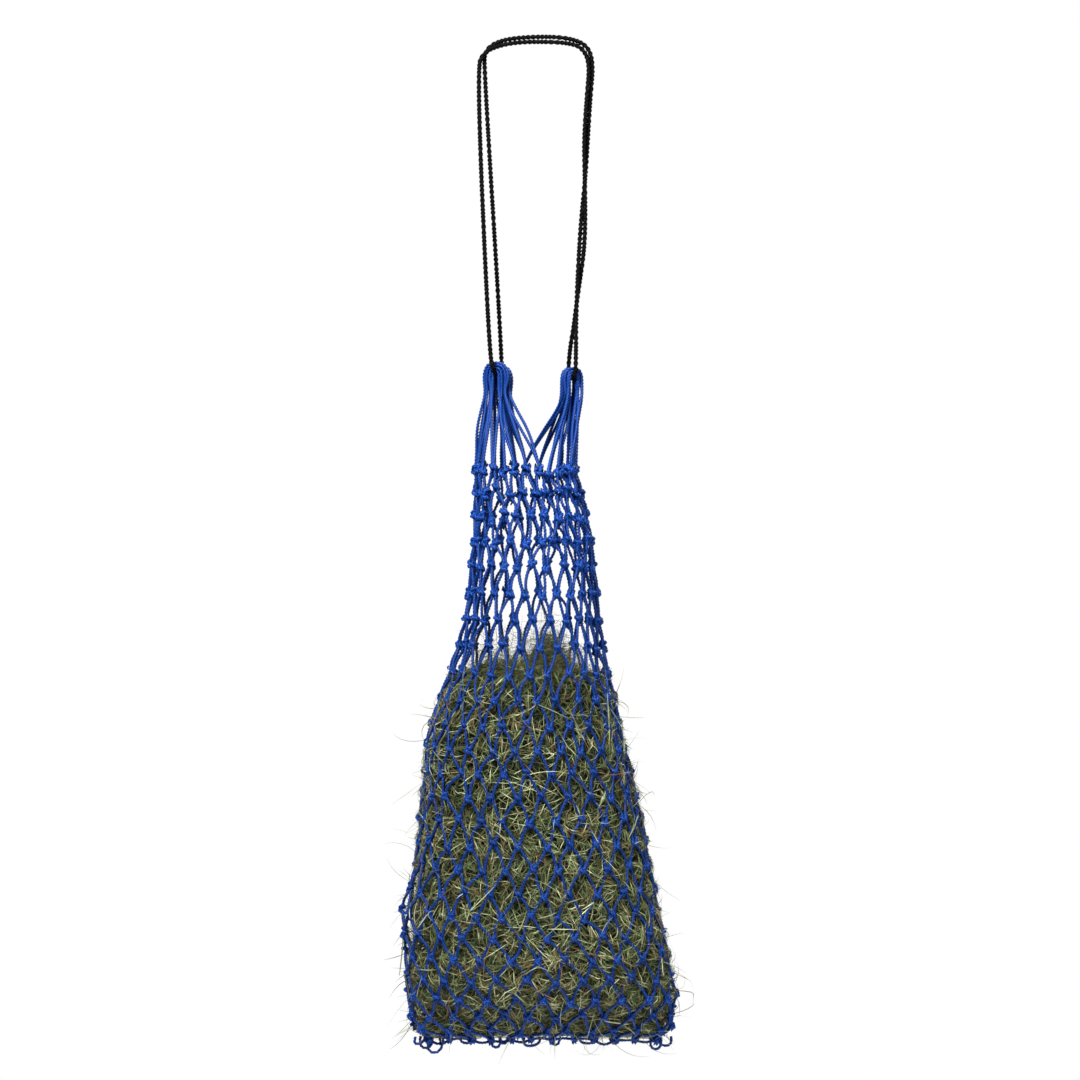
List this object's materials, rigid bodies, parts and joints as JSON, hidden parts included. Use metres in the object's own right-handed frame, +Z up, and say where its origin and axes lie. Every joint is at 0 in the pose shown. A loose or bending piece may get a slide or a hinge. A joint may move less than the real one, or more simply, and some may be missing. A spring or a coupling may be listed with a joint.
{
  "type": "hay net",
  "caption": "Hanging knotted hay net with a closed draw rope, two gathers of long loops, an empty neck and a bag full of hay.",
  "frame": {"origin": "the hanging point, just under the middle of the rope's top run", "axes": "+Z up, +X to the right of someone facing the net, who looks along +Y; the net is widest along X"},
  "size_m": [0.4229, 0.2342, 1.517],
  "materials": {
    "twine_blue": "satin",
    "rope_black": "matte",
    "hay": "matte"
  },
  "bodies": {
    "hanging_bight": {"rope_bight": "rope_black", "rope_falls_left": "rope_black", "rope_falls_right": "rope_black"},
    "gathers": {"rope_bend_left": "rope_black", "rope_bend_right": "rope_black", "rope_knot": "rope_black", "gather_left": "twine_blue", "gather_right": "twine_blue"},
    "neck": {"loop_legs_left": "twine_blue", "loop_legs_right": "twine_blue", "mesh_course_01": "twine_blue", "mesh_course_02": "twine_blue", "mesh_course_03": "twine_blue", "mesh_course_04": "twine_blue", "mesh_course_05": "twine_blue", "mesh_course_06": "twine_blue", "mesh_course_07": "twine_blue", "mesh_course_08": "twine_blue"},
    "hay_bag": {"mesh_course_09": "twine_blue", "mesh_course_10": "twine_blue", "mesh_course_11": "twine_blue", "mesh_course_12": "twine_blue", "mesh_course_13": "twine_blue", "mesh_course_14": "twine_blue", "mesh_course_15": "twine_blue", "mesh_course_16": "twine_blue", "mesh_course_17": "twine_blue", "mesh_course_18": "twine_blue", "mesh_course_19": "twine_blue", "mesh_course_20": "twine_blue", "mesh_course_21": "twine_blue", "mesh_course_22": "twine_blue", "mesh_course_23": "twine_blue", "mesh_course_24": "twine_blue", "mesh_course_25": "twine_blue", "seam_lacing": "twine_blue", "hay": "hay"}
  },
  "joints": [
    {"name": "rope_twist", "type": "hinge", "parent": "hanging_bight", "child": "gathers", "pos_m": [0, 0, 0], "axis": [0, 0, 1], "range_deg": [-60, 60], "stiffness_Nm_per_rad": 0.46, "deforming": ["rope_falls_left", "rope_falls_right"]},
    {"name": "net_swing", "type": "hinge", "parent": "gathers", "child": "neck", "pos_m": [0, 0, -0.51], "axis": [1, 0, 0], "range_deg": [-35, 35], "deforming": ["loop_legs_left", "loop_legs_right"]},
    {"name": "bag_swing", "type": "hinge", "parent": "neck", "child": "hay_bag", "pos_m": [-0.0016, 0, -0.862], "axis": [0, 1, 0], "range_deg": [-25, 25], "deforming": ["mesh_course_06", "mesh_course_07", "mesh_course_08"]}
  ]
}
